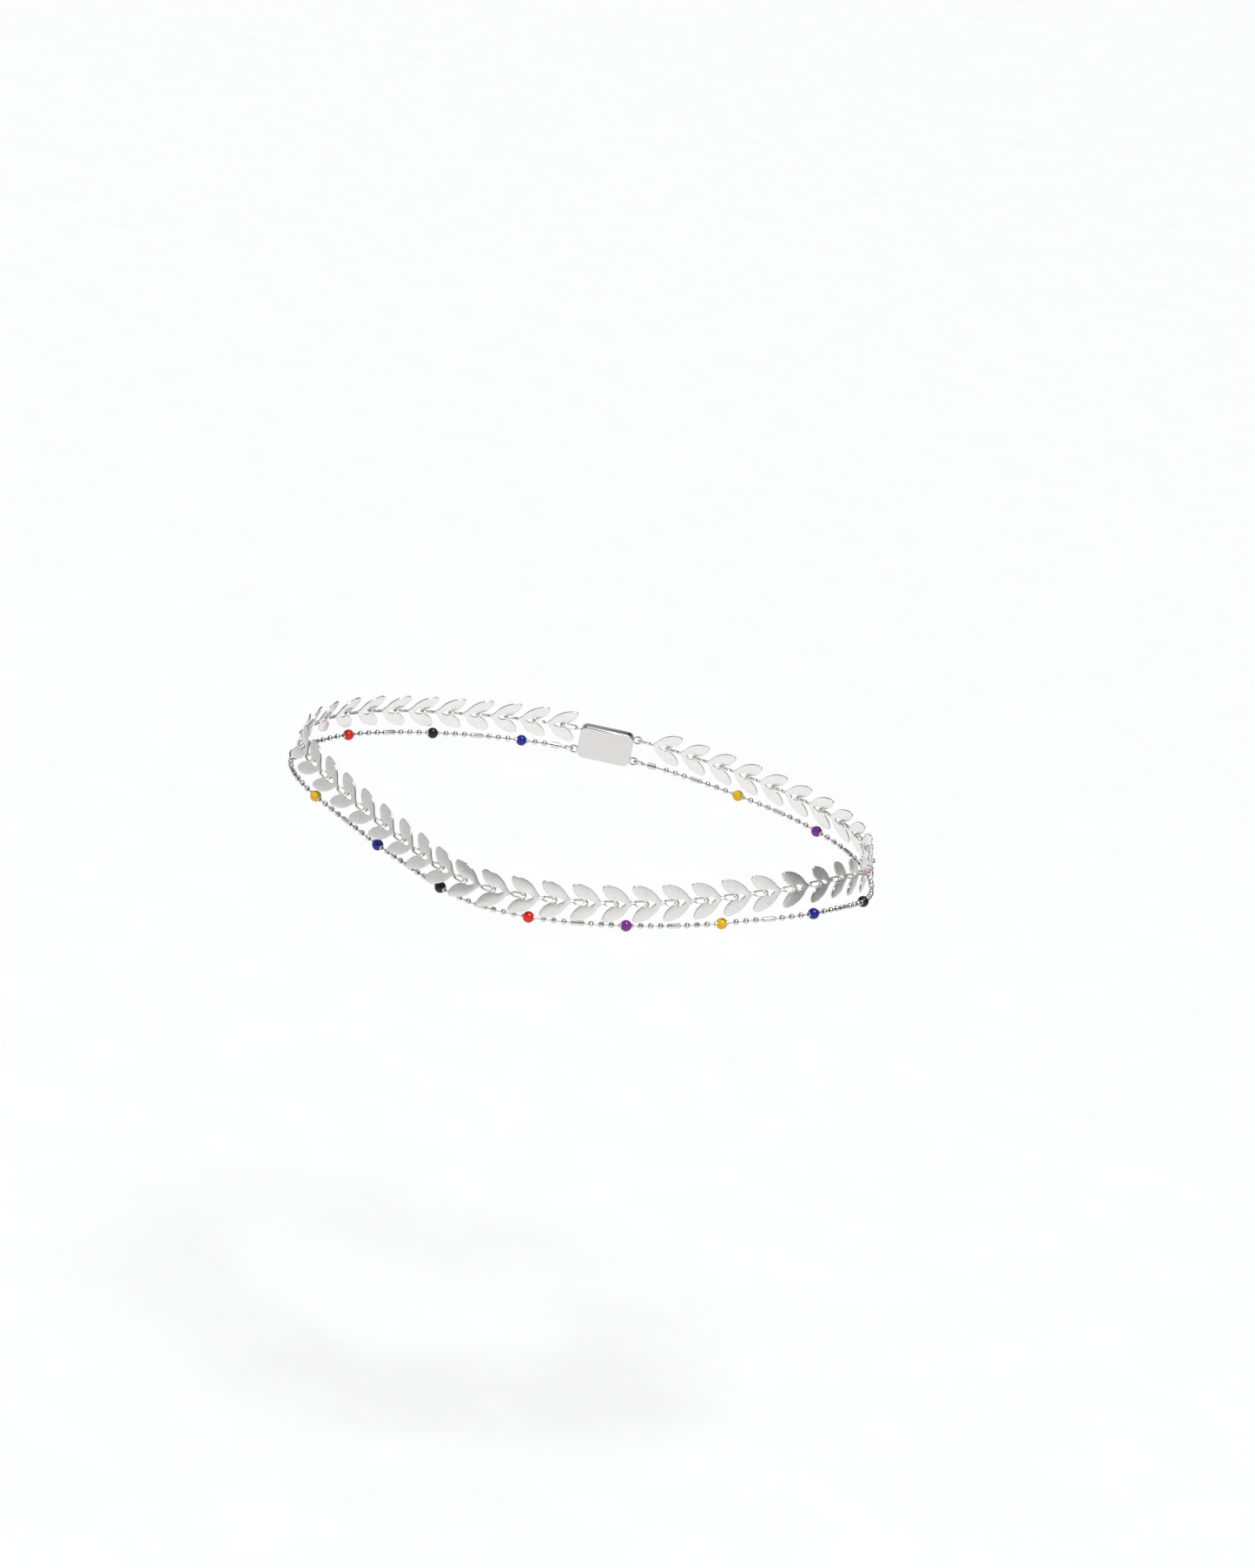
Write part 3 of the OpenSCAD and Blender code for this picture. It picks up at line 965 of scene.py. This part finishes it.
class ANKLET_OT_stage(Operator):
    """Set the camera, the soft lights and the pale floor"""

    bl_idname = "anklet.stage"
    bl_label = "Stage"

    def execute(self, context):
        scene = context.scene
        stage = scene.anklet_stage
        elevation, roll = stage.elevation, stage.roll
        forward = Vector((0, math.cos(elevation), -math.sin(elevation)))
        right = Vector((math.cos(roll), math.sin(roll) * math.sin(elevation),
                        math.sin(roll) * math.cos(elevation)))
        up = right.cross(forward)
        pixel = stage.distance * stage.sensor / (stage.lens * PHOTO_SIZE[1])
        aside = (PHOTO_SIZE[0] / 2 - LOOP_CENTRE_PIXEL[0]) * pixel
        above = (LOOP_CENTRE_PIXEL[1] - PHOTO_SIZE[1] / 2) * pixel
        data = bpy.data.cameras.new("camera")
        data.lens = stage.lens
        data.sensor_fit = "VERTICAL"
        data.sensor_height = stage.sensor
        data.clip_start = 0.01
        camera = bpy.data.objects.new("camera", data)
        camera.matrix_world = Matrix.Translation(
            right * aside + up * above - forward * stage.distance
        ) @ Matrix([right, up, -forward]).transposed().to_4x4()
        scene.collection.objects.link(camera)
        scene.camera = camera

        data = bpy.data.lights.new("softbox", "SUN")
        data.energy = stage.key_strength
        data.angle = stage.key_spread
        softbox = bpy.data.objects.new("softbox", data)
        softbox.rotation_euler = towards(stage.key_azimuth, stage.key_elevation).to_track_quat(
            "Z", "Y").to_euler()
        scene.collection.objects.link(softbox)
        scene.world = tent(stage)
        scene.view_settings.view_transform = "Standard"

        bm = bmesh.new()
        bmesh.ops.create_grid(
            bm, x_segments=FLOOR_CELLS, y_segments=FLOOR_CELLS, size=FLOOR_HALF)
        bmesh.ops.translate(bm, verts=bm.verts, vec=(0, 0, -stage.floor_depth))
        mesh = bpy.data.meshes.new("floor")
        bm.to_mesh(mesh)
        bm.free()
        finish = new_finish("floor")
        place = finish.coordinates("Object")
        tone = finish.between(finish.noise(place, 60.0, 3.0), 0.3, 0.7, 0.87, 0.89)
        mesh.materials.append(finish.shader(
            Base_Color=finish.mix(tone, (0, 0, 0), (1, 1, 1)), Roughness=0.8))
        floor = bpy.data.objects.new("floor", mesh)
        scene.collection.objects.link(floor)
        for middle, (width, height), tone in SIDE_CARDS:
            side_card(middle, width, height, tone)
        return {"FINISHED"}


class ANKLET_PT_build(Panel):
    """Lists the steps that build the anklet and its settings"""

    bl_idname = "ANKLET_PT_build"
    bl_label = "Anklet"
    bl_space_type = "VIEW_3D"
    bl_region_type = "UI"
    bl_category = "Anklet"

    def draw(self, context):
        for step in STEPS:
            self.layout.operator(step.bl_idname)
        for name, group in GROUPS.items():
            settings = getattr(context.scene, name)
            box = self.layout.box()
            box.label(text=group.__doc__)
            for setting in group.__annotations__:
                box.prop(settings, setting)


GROUPS = {
    "anklet_leaf": LeafSizes,
    "anklet_string": StringSizes,
    "anklet_clasp": ClaspSizes,
    "anklet_looks": Looks,
    "anklet_stage": StageSizes,
}
STEPS = (
    ANKLET_OT_finishes, ANKLET_OT_leaf_plates, ANKLET_OT_leaf_loops, ANKLET_OT_silver_balls,
    ANKLET_OT_bar_tubes, ANKLET_OT_enamel_beads, ANKLET_OT_clasp, ANKLET_OT_string_ends,
    ANKLET_OT_thread, ANKLET_OT_stage,
)


def register():
    for item in (*GROUPS.values(), *STEPS, ANKLET_PT_build):
        bpy.utils.register_class(item)
    for name, group in GROUPS.items():
        setattr(bpy.types.Scene, name, PointerProperty(type=group))


def unregister():
    for name in GROUPS:
        delattr(bpy.types.Scene, name)
    for item in (ANKLET_PT_build, *reversed(STEPS), *GROUPS.values()):
        bpy.utils.unregister_class(item)


def main():
    register()
    bpy.ops.anklet.finishes()
    bpy.ops.anklet.leaf_plates()
    bpy.ops.anklet.leaf_loops()
    bpy.ops.anklet.silver_balls()
    bpy.ops.anklet.bar_tubes()
    bpy.ops.anklet.enamel_beads()
    bpy.ops.anklet.clasp()
    bpy.ops.anklet.string_ends()
    bpy.ops.anklet.thread()
    bpy.ops.anklet.stage()


if __name__ == "__main__":
    main()
